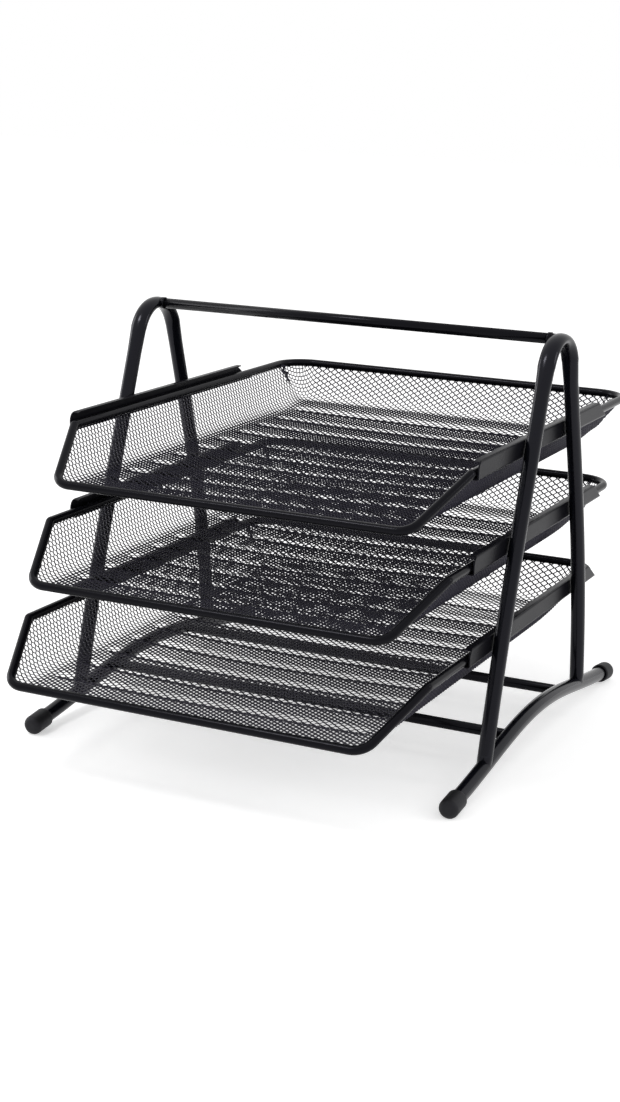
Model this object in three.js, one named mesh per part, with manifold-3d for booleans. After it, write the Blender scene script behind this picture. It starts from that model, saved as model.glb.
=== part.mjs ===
// A desk stand with three sliding trays of expanded metal mesh, in millimetres, +Z up.
// X runs across the stand and -Y is the front, where the trays are pulled out.
// Two bent tube hoops on arched foot bars carry three pairs of folded rails, and the rim
// rod of each tray slides in a pair of rails.
import * as THREE from "three";
import { mergeVertices, toCreasedNormals } from "three/addons/utils/BufferGeometryUtils.js";
import Module from "manifold-3d";

const wasm = await Module();
wasm.setup();

// Gaps between pieces: welded or pushed-on pieces, and the side play of a tray in its rails
const SEAT_GAP = 0.3;
const SIDE_PLAY = 0.5;

// Hoops
const TUBE_RADIUS = 4.75;
const HOOP_SPACING = 286;
const HOOP_HEIGHT = 265.25;
const HOOP_BEND_RADIUS = 27.5;
const FRONT_LEG_REACH = 96.6;
const REAR_LEG_REACH = 79;
const FRONT_LEAN_TOP = 18.1;
const FRONT_LEAN_FOOT = 14;
const REAR_LEAN_TOP = 16.6;
const REAR_LEAN_FOOT = 5;
const LEG_FULLNESS = 0.4;

// Foot bars and their rubber caps
const FOOT_BAR_FRONT_REACH = 152.5;
const FOOT_BAR_REAR_REACH = 145;
const FOOT_BAR_CREST_HEIGHT = 23.8;
const CAP_RADIUS = 6.25;
const CAP_LENGTH = 18;
const CAP_END_WALL = 3;
const CAP_ROUNDING = 4;
const CAP_LIP = 0.6;
const CAP_FLAT_DEPTH = 0.4;

// Rods across the stand
const ROD_RADIUS = 3.25;
const COLLAR_RADIUS = 4.3;
const COLLAR_LENGTH = 3.5;
const FRONT_BAR_Y = -54;
const REAR_BAR_Y = 43.7;

// Rails
const SHEET = 1;
const RAIL_WIDTH = 4.7;
const RAIL_BEND_RADIUS = 1.6;
const RAIL_HEADROOM = 4.2;
const RAIL_LENGTH = 240.4;
const RAIL_REAR_SLANT = 14;
const RAIL_FRONT_ROUNDING = 6;

// Trays
const TOP_RIM_HEIGHT = 196.5;
const TIER_PITCH = 56.5;
const TRAY_BEND_Y = -116.8;
const BEND_TO_RAIL = 1;
const PULLED_OUT = { top: 0, middle: 28.5, bottom: 53.1 };
const RIM_RADIUS = 2.5;
const TRAY_LENGTH = 306.5;
const FRONT_RUN = 48.1;
const FRONT_DROP = 26.7;
const FRONT_INSET = 17.5;
const BACK_CORNER_RADIUS = 22;
const FRONT_CORNER_RADIUS = 12;
const RIM_BEND_RADIUS = 5;

// Mesh pans
const MESH_THICKNESS = 0.9;
const PAN_FILLET_RADIUS = 12;
const GROOVE_WIDTH = 9;
const GROOVE_BED = 3;
const GROOVE_DEPTH = 1.2;
const GROOVE_PITCH = 30;
const GROOVE_FRONT_MARGIN = 34;
const GROOVE_BACK_MARGIN = 18;
const GROOVE_RUN_OUT = 6;
const FLOOR_SAG = 3;

// A plain grid of openings that stands for the fine mesh of the pans
const OPENINGS_IN_A_ROW = 6;
const OPENING_BAR = 3;
const OPENING_MARGIN = 2;
const FRONT_EDGE_MARGIN = 4;

// How finely curves are cut
const TUBE_SIDES = 12;
const ROD_SIDES = 8;
const CAP_SIDES = 12;
const LEG_STEPS = 6;
const HOOP_BEND_STEPS = 8;
const ARCH_STEPS = 10;
const CORNER_STEPS = 6;
const SMALL_BEND_STEPS = 2;
const FRONT_CORNER_STEPS = 4;
const FILLET_STEPS = 3;
const ROUNDING_STEPS = 4;
const CREASE_ANGLE = 0.7;

// Places that follow from the sizes above
const HOOP_X = HOOP_SPACING / 2;
const APEX_Z = HOOP_HEIGHT - TUBE_RADIUS;
const WEB_OUTER_X = HOOP_X - TUBE_RADIUS - SEAT_GAP;
const WEB_INNER_X = WEB_OUTER_X - SHEET;
const RIM_X = WEB_INNER_X - SIDE_PLAY - RIM_RADIUS;
const RAIL_BELOW_RIM = RIM_RADIUS + SEAT_GAP + SHEET;
const RAIL_ABOVE_RIM = RIM_RADIUS + RAIL_HEADROOM + SHEET;
const RAIL_FRONT_Y = TRAY_BEND_Y + BEND_TO_RAIL;
const ACROSS = new THREE.Vector3(1, 0, 0);
const UP = new THREE.Vector3(0, 0, 1);

// Materials
const paintedTube = paint(0x17171a, 0.42);
const paintedRail = paint(0x1b1b1e, 0.45);
const paintedRod = paint(0x161618, 0.4);
const paintedMesh = paint(0x19191b, 0.5);
const rubber = new THREE.MeshStandardMaterial({ color: 0x0c0c0d, roughness: 0.75, metalness: 0 });

function paint(color, roughness) {
  return new THREE.MeshStandardMaterial({ color, roughness, metalness: 0.35 });
}

// Solids

function solidOf(geometry) {
  const plain = new THREE.BufferGeometry();
  const loose = geometry.index ? geometry.toNonIndexed() : geometry;
  plain.setAttribute("position", loose.getAttribute("position"));
  const merged = mergeVertices(plain, 1e-4);
  const mesh = new wasm.Mesh({
    numProp: 3,
    vertProperties: merged.attributes.position.array,
    triVerts: new Uint32Array(merged.index.array),
  });
  return new wasm.Manifold(mesh);
}

function geometryOf(solid) {
  const mesh = solid.getMesh();
  const geometry = new THREE.BufferGeometry();
  geometry.setAttribute("position", new THREE.BufferAttribute(mesh.vertProperties, mesh.numProp));
  geometry.setIndex(new THREE.BufferAttribute(mesh.triVerts, 1));
  return geometry;
}

function cut(geometry, ...tools) {
  let solid = solidOf(geometry);
  for (const tool of tools) {
    solid = solid.subtract(solidOf(tool));
  }
  return geometryOf(solid);
}

function piece(name, geometry, material) {
  const mesh = new THREE.Mesh(toCreasedNormals(geometry, CREASE_ANGLE), material);
  mesh.name = name;
  return mesh;
}

// Carries a round section along stations. The section's first axis is square to the
// reference direction, which is never along the path.
function sweepRound(radius, sides, stations, reference, closed = false) {
  const count = stations.length;
  const positions = [];
  const faces = [];
  stations.forEach((at, i) => {
    const before = stations[closed ? (i + count - 1) % count : Math.max(i - 1, 0)];
    const after = stations[closed ? (i + 1) % count : Math.min(i + 1, count - 1)];
    const incoming = at.clone().sub(before).normalize();
    const outgoing = after.clone().sub(at).normalize();
    const along = incoming.add(outgoing).normalize();
    const first = new THREE.Vector3().crossVectors(reference, along).normalize();
    const second = new THREE.Vector3().crossVectors(along, first);
    for (let s = 0; s < sides; s += 1) {
      const angle = (2 * Math.PI * s) / sides;
      const point = at
        .clone()
        .addScaledVector(first, radius * Math.cos(angle))
        .addScaledVector(second, radius * Math.sin(angle));
      positions.push(point.x, point.y, point.z);
    }
  });
  const spans = closed ? count : count - 1;
  for (let i = 0; i < spans; i += 1) {
    const here = i * sides;
    const next = ((i + 1) % count) * sides;
    for (let s = 0; s < sides; s += 1) {
      const t = (s + 1) % sides;
      faces.push(here + s, here + t, next + t, here + s, next + t, next + s);
    }
  }
  if (!closed) {
    const last = (count - 1) * sides;
    for (let s = 1; s < sides - 1; s += 1) {
      faces.push(0, s + 1, s);
      faces.push(last, last + s, last + s + 1);
    }
  }
  const geometry = new THREE.BufferGeometry();
  geometry.setAttribute("position", new THREE.Float32BufferAttribute(positions, 3));
  geometry.setIndex(faces);
  return geometry;
}

// A rod along X between two places, with its axis at y and z
function crossRod(radius, fromX, toX, y, z) {
  const stations = [new THREE.Vector3(fromX, y, z), new THREE.Vector3(toX, y, z)];
  return sweepRound(radius, ROD_SIDES, stations, UP);
}

// A closed path round corner points, each corner an arc tangent to both sides
function roundedLoop(corners) {
  const count = corners.length;
  const stations = [];
  corners.forEach(({ at, radius, steps }, i) => {
    const before = corners[(i + count - 1) % count].at;
    const after = corners[(i + 1) % count].at;
    const back = before.clone().sub(at).normalize();
    const ahead = after.clone().sub(at).normalize();
    const opening = back.angleTo(ahead);
    const toCentre = back.clone().add(ahead).normalize();
    const centre = at.clone().addScaledVector(toCentre, radius / Math.sin(opening / 2));
    const start = at.clone().addScaledVector(back, radius / Math.tan(opening / 2)).sub(centre);
    const axis = new THREE.Vector3().crossVectors(back, ahead).normalize();
    const turn = opening - Math.PI;
    for (let s = 0; s <= steps; s += 1) {
      const spoke = start.clone().applyAxisAngle(axis, (turn * s) / steps);
      stations.push(centre.clone().add(spoke));
    }
  });
  return stations;
}

// A prism along X whose outline is drawn in Y and Z
function sidePrism(outline, fromX, toX) {
  const geometry = new THREE.ExtrudeGeometry(outline, {
    depth: toX - fromX,
    bevelEnabled: false,
    curveSegments: ROUNDING_STEPS,
  });
  const axes = new THREE.Matrix4().makeBasis(new THREE.Vector3(0, 1, 0), UP, ACROSS);
  return geometry.applyMatrix4(axes).translate(fromX, 0, 0);
}

// Foot bars: a low arch that runs out straight under each cap

const footMiddleY = (FOOT_BAR_REAR_REACH - FOOT_BAR_FRONT_REACH) / 2;
const footHalfLength = (FOOT_BAR_REAR_REACH + FOOT_BAR_FRONT_REACH) / 2;
const footArchHalf = footHalfLength - CAP_LENGTH;
const footEndHeight = CAP_RADIUS - CAP_FLAT_DEPTH;
const footArchRise = (FOOT_BAR_CREST_HEIGHT - footEndHeight) / (1 + CAP_LENGTH / footArchHalf);
const footEndSlope = footArchRise / footArchHalf;

// The arch is halfway between a parabola and a wave, so its shoulders are softly curved
function footBarHeight(y) {
  const away = Math.abs(y - footMiddleY);
  const beyond = Math.max(away - footArchHalf, 0);
  const share = Math.min(away / footArchHalf, 1);
  const parabola = 1 - share * share;
  const wave = (1 + Math.cos(Math.PI * share)) / 2;
  const archEnd = footEndHeight + footEndSlope * CAP_LENGTH;
  return archEnd + (footArchRise * (parabola + wave)) / 2 - footEndSlope * beyond;
}

function footBarStations(x) {
  const places = [footMiddleY - footHalfLength];
  for (let s = 0; s <= ARCH_STEPS; s += 1) {
    places.push(footMiddleY + footArchHalf * ((2 * s) / ARCH_STEPS - 1));
  }
  places.push(footMiddleY + footHalfLength);
  return places.map((y) => new THREE.Vector3(x, y, footBarHeight(y)));
}

function footBar(x, extra = 0) {
  return sweepRound(TUBE_RADIUS + extra, TUBE_SIDES, footBarStations(x), ACROSS);
}

// A cap is a sleeve with a rounded closed end, pushed onto the bar and worn flat below
function footCap(x, end) {
  const bore = TUBE_RADIUS + SEAT_GAP;
  const whole = CAP_LENGTH + CAP_END_WALL;
  const profile = [new THREE.Vector2(0, 0)];
  for (let s = 0; s <= ROUNDING_STEPS; s += 1) {
    const angle = (Math.PI / 2) * (s / ROUNDING_STEPS);
    const r = CAP_RADIUS - CAP_ROUNDING * (1 - Math.sin(angle));
    profile.push(new THREE.Vector2(r, CAP_ROUNDING * (1 - Math.cos(angle))));
  }
  profile.push(new THREE.Vector2(CAP_RADIUS, whole - CAP_LIP));
  profile.push(new THREE.Vector2(CAP_RADIUS - CAP_LIP, whole));
  profile.push(new THREE.Vector2(bore, whole));
  profile.push(new THREE.Vector2(bore, CAP_END_WALL));
  profile.push(new THREE.Vector2(0, CAP_END_WALL));
  const sleeve = new THREE.LatheGeometry(profile, CAP_SIDES);
  const tip = new THREE.Vector3(x, footMiddleY + end * footHalfLength, 0);
  tip.z = footBarHeight(tip.y);
  const inward = new THREE.Vector3(0, -end, footEndSlope).normalize();
  const place = new THREE.Quaternion().setFromUnitVectors(new THREE.Vector3(0, 1, 0), inward);
  sleeve.applyQuaternion(place);
  const start = tip.addScaledVector(inward, -CAP_END_WALL - SEAT_GAP);
  sleeve.translate(start.x, start.y, start.z);
  const below = new THREE.BoxGeometry(4 * CAP_RADIUS, 4 * whole, CAP_RADIUS);
  below.translate(tip.x, tip.y, -CAP_RADIUS / 2);
  return cut(sleeve, below);
}

// Hoops: an arc over the top and two slightly bowed legs down to the foot bar

const hoopBendCentre = new THREE.Vector3(0, 0, APEX_Z - HOOP_BEND_RADIUS);

// One leg's centre line from the end of the bend down to the foot bar, as seen from the side
function legCurve(side, reach, leanTop, leanFoot) {
  const top = THREE.MathUtils.degToRad(leanTop);
  const low = THREE.MathUtils.degToRad(leanFoot);
  const start = new THREE.Vector3(0, side * Math.cos(top), Math.sin(top))
    .multiplyScalar(HOOP_BEND_RADIUS)
    .add(hoopBendCentre);
  const foot = new THREE.Vector3(0, side * reach, footBarHeight(side * reach));
  const pull = LEG_FULLNESS * start.distanceTo(foot);
  const down = new THREE.Vector3(0, side * Math.sin(top), -Math.cos(top));
  const rise = new THREE.Vector3(0, -side * Math.sin(low), Math.cos(low));
  return new THREE.CubicBezierCurve3(
    start,
    start.clone().addScaledVector(down, pull),
    foot.clone().addScaledVector(rise, pull),
    foot,
  );
}

const frontLeg = legCurve(-1, FRONT_LEG_REACH, FRONT_LEAN_TOP, FRONT_LEAN_FOOT);
const rearLeg = legCurve(1, REAR_LEG_REACH, REAR_LEAN_TOP, REAR_LEAN_FOOT);

function hoopStations(x) {
  const front = frontLeg.getPoints(LEG_STEPS).reverse();
  const rear = rearLeg.getPoints(LEG_STEPS);
  const from = Math.PI - THREE.MathUtils.degToRad(FRONT_LEAN_TOP);
  const to = THREE.MathUtils.degToRad(REAR_LEAN_TOP);
  const bend = [];
  for (let s = 1; s < HOOP_BEND_STEPS; s += 1) {
    const angle = THREE.MathUtils.lerp(from, to, s / HOOP_BEND_STEPS);
    const spoke = new THREE.Vector3(0, Math.cos(angle), Math.sin(angle));
    bend.push(spoke.multiplyScalar(HOOP_BEND_RADIUS).add(hoopBendCentre));
  }
  return [...front, ...bend, ...rear].map((at) => new THREE.Vector3(x, at.y, at.z));
}

function hoopTube(x, extra = 0) {
  return sweepRound(TUBE_RADIUS + extra, TUBE_SIDES, hoopStations(x), ACROSS);
}

// Both legs end in a saddle that sits on the foot bar
function hoop(x) {
  return cut(hoopTube(x), footBar(x, SEAT_GAP));
}

// Rods between the two sides, with their ends coped to the tubes

function rodBetween(tube, y, z) {
  const rod = crossRod(ROD_RADIUS, -HOOP_X, HOOP_X, y, z);
  return cut(rod, tube(-HOOP_X, SEAT_GAP), tube(HOOP_X, SEAT_GAP));
}

function collar(side) {
  const bore = ROD_RADIUS + SEAT_GAP;
  const profile = [
    new THREE.Vector2(bore, 0),
    new THREE.Vector2(COLLAR_RADIUS, 0),
    new THREE.Vector2(COLLAR_RADIUS, COLLAR_LENGTH),
    new THREE.Vector2(bore, COLLAR_LENGTH),
    new THREE.Vector2(bore, 0),
  ];
  const ring = new THREE.LatheGeometry(profile, CAP_SIDES);
  ring.rotateZ(side * (Math.PI / 2));
  return ring.translate(side * (HOOP_X - TUBE_RADIUS - SEAT_GAP), 0, APEX_Z);
}

// Rails: a channel folded from sheet, open towards the tray, with a rounded front corner
// and a slanted rear end

function railSection(side) {
  const outer = side * WEB_OUTER_X;
  const inner = side * WEB_INNER_X;
  const lip = side * (WEB_OUTER_X - RAIL_WIDTH);
  const height = RAIL_BELOW_RIM + RAIL_ABOVE_RIM;
  const tight = RAIL_BEND_RADIUS - SHEET;
  const outerBend = outer - side * RAIL_BEND_RADIUS;
  const innerBend = inner - side * tight;
  const shape = new THREE.Shape();
  shape.moveTo(lip, 0);
  shape.lineTo(outerBend, 0);
  shape.quadraticCurveTo(outer, 0, outer, RAIL_BEND_RADIUS);
  shape.lineTo(outer, height - RAIL_BEND_RADIUS);
  shape.quadraticCurveTo(outer, height, outerBend, height);
  shape.lineTo(lip, height);
  shape.lineTo(lip, height - SHEET);
  shape.lineTo(innerBend, height - SHEET);
  shape.quadraticCurveTo(inner, height - SHEET, inner, height - SHEET - tight);
  shape.lineTo(inner, SHEET + tight);
  shape.quadraticCurveTo(inner, SHEET, innerBend, SHEET);
  shape.lineTo(lip, SHEET);
  shape.closePath();
  return shape;
}

function railOutline() {
  const height = RAIL_BELOW_RIM + RAIL_ABOVE_RIM;
  const rear = RAIL_FRONT_Y + RAIL_LENGTH;
  const shape = new THREE.Shape();
  shape.moveTo(RAIL_FRONT_Y, 0);
  shape.lineTo(rear, 0);
  shape.lineTo(rear - RAIL_REAR_SLANT, height);
  shape.lineTo(RAIL_FRONT_Y + RAIL_FRONT_ROUNDING, height);
  shape.quadraticCurveTo(RAIL_FRONT_Y, height, RAIL_FRONT_Y, height - RAIL_FRONT_ROUNDING);
  shape.closePath();
  return shape;
}

function rail(side) {
  const channel = new THREE.ExtrudeGeometry(railSection(side), {
    depth: RAIL_LENGTH,
    bevelEnabled: false,
    curveSegments: SMALL_BEND_STEPS,
  });
  channel.rotateX(Math.PI / 2);
  channel.translate(0, RAIL_FRONT_Y + RAIL_LENGTH, 0);
  const outline = sidePrism(railOutline(), -HOOP_SPACING, HOOP_SPACING);
  return geometryOf(solidOf(channel).intersect(solidOf(outline)));
}

// A tray's own frame: y = 0 at the bend where its front edge starts to drop, z = 0 at the
// axis of the level part of the rim

const rimFrontX = RIM_X - FRONT_INSET;

function trayRim() {
  const corner = (x, y, z, radius, steps) => ({ at: new THREE.Vector3(x, y, z), radius, steps });
  const bend = [RIM_BEND_RADIUS, SMALL_BEND_STEPS];
  const back = [BACK_CORNER_RADIUS, CORNER_STEPS];
  const front = [FRONT_CORNER_RADIUS, FRONT_CORNER_STEPS];
  const path = roundedLoop([
    corner(RIM_X, 0, 0, ...bend),
    corner(RIM_X, TRAY_LENGTH, 0, ...back),
    corner(-RIM_X, TRAY_LENGTH, 0, ...back),
    corner(-RIM_X, 0, 0, ...bend),
    corner(-rimFrontX, -FRONT_RUN, -FRONT_DROP, ...front),
    corner(rimFrontX, -FRONT_RUN, -FRONT_DROP, ...front),
  ]);
  return sweepRound(RIM_RADIUS, ROD_SIDES, path, UP, true);
}

// The pan is a thin formed sheet. Its walls lie in one plane with the slanted part of the
// rim, and it turns into the floor with a wide fillet. inset is the distance in from the
// rim's axis, seen from above.

const wallSlope = Math.atan2(FRONT_DROP, FRONT_INSET);
const frontSlope = Math.atan2(FRONT_DROP, FRONT_RUN);
const edgeGap = RIM_RADIUS + SEAT_GAP;
const floorZ = -FRONT_DROP - edgeGap - MESH_THICKNESS / 2;
const wallFootInset = -floorZ / Math.tan(wallSlope);
const filletReach = PAN_FILLET_RADIUS * Math.tan(wallSlope / 2);
const floorInset = wallFootInset + filletReach;
const floorHalfWidth = RIM_X - floorInset;
const floorBackY = TRAY_LENGTH - floorInset;

// Openings of equal width between two places, with a bar between neighbours
function openingSpans(from, to) {
  const pitch = (to - from + OPENING_BAR) / OPENINGS_IN_A_ROW;
  const starts = Array.from({ length: OPENINGS_IN_A_ROW }, (_, k) => from + k * pitch);
  return starts.map((start) => [start, start + pitch - OPENING_BAR]);
}

// The wall's section, from its upper edge to the floor, each row with its slope. The wall's
// openings lie between the second row and the third, where the fillet starts.
function wallSection() {
  const along = (run) => ({
    inset: run * Math.cos(wallSlope),
    z: -run * Math.sin(wallSlope),
    slope: wallSlope,
    open: run > edgeGap,
  });
  const rows = [along(edgeGap), along(edgeGap + OPENING_MARGIN)];
  for (let s = 0; s < FILLET_STEPS; s += 1) {
    const slope = wallSlope * (1 - s / FILLET_STEPS);
    rows.push({
      inset: floorInset - PAN_FILLET_RADIUS * Math.sin(slope),
      z: floorZ + PAN_FILLET_RADIUS * (1 - Math.cos(slope)),
      slope,
      open: s === 0,
    });
  }
  return rows;
}

// Where the sheet is cut off at the front, just below the slanted part of the rim
function frontCutY(z) {
  return (z + edgeGap / Math.cos(frontSlope)) / Math.tan(frontSlope);
}

// The ends of the openings along a straight stretch of wall, each with the number of its
// opening and its place between the places of the stretch's own ends
function openingEnds(from, to, firstPlace) {
  return openingSpans(from, to).flatMap((span, k) =>
    span.map((at) => ({ at, opening: k + 1, place: firstPlace + (at - from + 1) / (to - from + 2) })),
  );
}

const sideOpenings = openingEnds(OPENING_MARGIN, TRAY_LENGTH - floorInset, 0);
const backOpenings = openingEnds(-floorHalfWidth, floorHalfWidth, 2);

// One row of the wall, from the front right over the back to the front left. Each node
// also has its place along the row, which joins rows of unlike counts.
function wallRow(inset, z, open) {
  const x = RIM_X - inset;
  const y = TRAY_LENGTH - inset;
  const radius = Math.max(BACK_CORNER_RADIUS - inset, 0);
  const nodes = [];
  const quarter = [];
  const side = open ? sideOpenings : [];
  const back = open ? backOpenings : [];
  for (let s = 0; s <= CORNER_STEPS; s += 1) {
    const angle = (Math.PI / 2) * (s / CORNER_STEPS);
    const px = x - radius * (1 - Math.cos(angle));
    const py = y - radius * (1 - Math.sin(angle));
    quarter.push({ x: px, y: py, z, place: 1 + s / CORNER_STEPS });
  }
  nodes.push({ x, y: frontCutY(z), z, place: 0 });
  nodes.push(...side.map(({ at, opening, place }) => ({ x, y: at, z, opening, place })));
  nodes.push(...quarter);
  const mirrored = nodes.map((n) => ({ ...n, x: -n.x, place: 5 - n.place }));
  const behind = back.map(({ at, opening, place }) => ({ x: -at, y, z, opening, place }));
  return [...nodes, ...behind, ...mirrored.reverse()];
}

const firstGrooveY = GROOVE_FRONT_MARGIN - FRONT_RUN;
const grooveRoom = floorBackY - GROOVE_BACK_MARGIN - firstGrooveY;
const grooveCount = Math.floor(grooveRoom / GROOVE_PITCH) + 1;

// Across the floor: its edge, where the grooves end, their full depth, and the middle
function floorColumns() {
  const full = floorHalfWidth - GROOVE_RUN_OUT;
  const half = [floorHalfWidth, full, full / 2];
  return [...half, 0, ...half.map((x) => -x).reverse()];
}

// From front to back: two edges and two bed lines for each groove
function floorRows() {
  const rows = [{ y: null, depth: 0 }];
  for (let g = 0; g < grooveCount; g += 1) {
    const middle = firstGrooveY + g * GROOVE_PITCH;
    rows.push({ y: middle - GROOVE_WIDTH / 2, depth: 0 });
    rows.push({ y: middle - GROOVE_BED / 2, depth: GROOVE_DEPTH });
    rows.push({ y: middle + GROOVE_BED / 2, depth: GROOVE_DEPTH });
    rows.push({ y: middle + GROOVE_WIDTH / 2, depth: 0 });
  }
  rows.push({ y: floorBackY, depth: 0 });
  return rows;
}

// How far the floor hangs below its edges
function sagAt(x, y) {
  const across = 1 - (x / floorHalfWidth) ** 2;
  const along = (y + FRONT_RUN) / (floorBackY + FRONT_RUN);
  return FLOOR_SAG * across * 4 * along * (1 - along);
}

function floorNode(x, row, surfaceZ) {
  const front = row.y === null;
  const y = front ? frontCutY(surfaceZ) : row.y;
  const sag = front ? 0 : sagAt(x, y);
  const depth = Math.abs(x) < floorHalfWidth ? row.depth : 0;
  return { x, y, z: surfaceZ - sag - depth };
}

// The front and back edges of the openings between two rows of the floor, right to left
function openingRows(before, after) {
  const from = before.y === null ? FRONT_EDGE_MARGIN - FRONT_RUN : before.y + OPENING_MARGIN;
  const to = after.y - OPENING_MARGIN;
  const reach = floorHalfWidth - OPENING_MARGIN;
  const ends = openingEnds(-reach, reach, 0);
  return [from, to].map((y) =>
    ends.map(({ at, opening }) => ({ x: -at, row: { y, depth: 0 }, opening })),
  );
}

// Every fourth stretch of the floor, from its front edge on, is a flat band with openings
const isBand = (r) => r % 4 === 0;

// Joins two rows of nodes whose counts differ, in the order of their places
function zip(outer, inner, faces) {
  let i = 0;
  let j = 0;
  while (i < outer.length - 1 || j < inner.length - 1) {
    const stepOuter =
      j === inner.length - 1 ||
      (i < outer.length - 1 && outer[i + 1].place <= inner[j + 1].place);
    if (stepOuter) {
      faces.push([outer[i].id, outer[i + 1].id, inner[j].id]);
      i += 1;
    } else {
      faces.push([outer[i].id, inner[j + 1].id, inner[j].id]);
      j += 1;
    }
  }
}

const isOpening = (node, next) => Boolean(node.opening) && node.opening === next.opening;

function quad(a, b, c, d, faces) {
  faces.push([a.id, b.id, c.id], [a.id, c.id, d.id]);
}

// The faces between two rows of nodes, with the openings left out where both rows have them
function strip(outer, inner, faces) {
  if (outer.length !== inner.length) {
    zip(outer, inner, faces);
    return;
  }
  for (let i = 0; i < outer.length - 1; i += 1) {
    if (!isOpening(outer[i], outer[i + 1])) {
      quad(outer[i], outer[i + 1], inner[i + 1], inner[i], faces);
    }
  }
}

// The corners of each opening between two rows
function openingLoops(outer, inner) {
  const starts = outer.slice(0, -1).map((node, i) => i);
  return starts
    .filter((i) => isOpening(outer[i], outer[i + 1]))
    .map((i) => [outer[i + 1].id, outer[i].id, inner[i].id, inner[i + 1].id]);
}

// One side of the sheet: side is 1 for the upper surface and -1 for the lower one
function panSurface(side, points) {
  const half = (side * MESH_THICKNESS) / 2;
  const add = (node) => {
    const id = points.length;
    points.push(node);
    return { ...node, id };
  };
  const walls = wallSection().map(({ inset, z, slope, open }) =>
    wallRow(inset + half * Math.sin(slope), z + half * Math.cos(slope), open).map(add),
  );
  const rows = floorRows();
  const columns = floorColumns();
  const place = (x, row, more) =>
    add({ ...floorNode(x, row, floorZ + half), place: -x, ...more });
  const floor = rows.map((row) => columns.map((x) => place(x, row)));
  const bands = new Map();
  for (let r = 0; r < rows.length - 1; r += 1) {
    if (isBand(r)) {
      const edges = openingRows(rows[r], rows[r + 1]);
      bands.set(r, edges.map((edge) => edge.map(({ x, row, opening }) => place(x, row, { opening }))));
    }
  }
  const last = columns.length - 1;
  const startY = floor[0][0].y;
  const along = (node) => (node.y - startY) / (floorBackY - startY);
  const right = floor.map((row) => ({ ...row[0], place: 1.5 * along(row[0]) }));
  const left = floor.map((row) => ({ ...row[last], place: 5 - 1.5 * along(row[last]) })).reverse();
  const backRow = floor[floor.length - 1].slice(1, last);
  const back = backRow.map((node, i) => ({ ...node, place: 2 + (i + 1) / last }));
  return { walls, floor, bands, border: [...right, ...back, ...left] };
}

// A flat band of the floor between two rows, round its openings
function bandFaces(before, after, [front, back], faces) {
  strip(after, back, faces);
  strip(back, front, faces);
  strip(front, before, faces);
  const end = front.length - 1;
  quad(before[0], after[0], back[0], front[0], faces);
  quad(before[before.length - 1], front[end], back[end], after[after.length - 1], faces);
}

function surfaceFaces({ walls, floor, bands, border }) {
  const faces = [];
  for (let r = 0; r < walls.length - 1; r += 1) {
    strip(walls[r], walls[r + 1], faces);
  }
  strip(walls[walls.length - 1], border, faces);
  for (let r = 0; r < floor.length - 1; r += 1) {
    if (bands.has(r)) {
      bandFaces(floor[r], floor[r + 1], bands.get(r), faces);
    } else {
      strip(floor[r + 1], floor[r], faces);
    }
  }
  return faces;
}

// The sheet's cut edge: along the rim, down the front of the left wall, along the front of
// the floor and up the right wall
function sheetEdge({ walls, floor }) {
  const leftEnds = walls.slice(1).map((row) => row[row.length - 1].id);
  const rightEnds = walls.slice(1).map((row) => row[0].id);
  const front = floor[0].map((node) => node.id);
  return [...walls[0].map((node) => node.id), ...leftEnds, ...front.reverse(), ...rightEnds.reverse()];
}

function trayPan() {
  const points = [];
  const upper = panSurface(1, points);
  const lower = panSurface(-1, points);
  const faces = surfaceFaces(upper);
  for (const [a, b, c] of surfaceFaces(lower)) {
    faces.push([a, c, b]);
  }
  const loopsOf = (surface) => {
    const inWalls = openingLoops(surface.walls[1], surface.walls[2]);
    const inBands = [...surface.bands.values()].flatMap(([front, back]) => openingLoops(back, front));
    return [sheetEdge(surface), ...inWalls, ...inBands];
  };
  const belowLoops = loopsOf(lower);
  loopsOf(upper).forEach((above, loop) => {
    const below = belowLoops[loop];
    above.forEach((id, i) => {
      const next = (i + 1) % above.length;
      faces.push([id, below[i], below[next]], [id, below[next], above[next]]);
    });
  });
  const positions = faces.flat().flatMap((id) => [points[id].x, points[id].y, points[id].z]);
  const loose = new THREE.BufferGeometry();
  loose.setAttribute("position", new THREE.Float32BufferAttribute(positions, 3));
  return withoutSlivers(mergeVertices(loose, 1e-4));
}

// Drops the faces that have closed up to a line where a corner's arc ends in a point
function withoutSlivers(geometry) {
  const index = Array.from(geometry.index.array);
  const kept = [];
  for (let i = 0; i < index.length; i += 3) {
    const [a, b, c] = index.slice(i, i + 3);
    if (a !== b && b !== c && c !== a) {
      kept.push(a, b, c);
    }
  }
  geometry.setIndex(kept);
  return geometry;
}

// The whole stand, with its middle over the origin

const stand = new THREE.Group();

for (const side of [-1, 1]) {
  const hand = side < 0 ? "left" : "right";
  const x = side * HOOP_X;
  stand.add(piece(`${hand}_hoop`, hoop(x), paintedTube));
  stand.add(piece(`${hand}_foot_bar`, footBar(x), paintedTube));
  stand.add(piece(`${hand}_front_foot_cap`, footCap(x, -1), rubber));
  stand.add(piece(`${hand}_rear_foot_cap`, footCap(x, 1), rubber));
  stand.add(piece(`${hand}_handle_collar`, collar(side), paintedRod));
}

stand.add(piece("handle_bar", rodBetween(hoopTube, 0, APEX_Z), paintedRod));
for (const [name, y] of Object.entries({ front: FRONT_BAR_Y, rear: REAR_BAR_Y })) {
  stand.add(piece(`${name}_lower_bar`, rodBetween(footBar, y, footBarHeight(y)), paintedRod));
}

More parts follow.
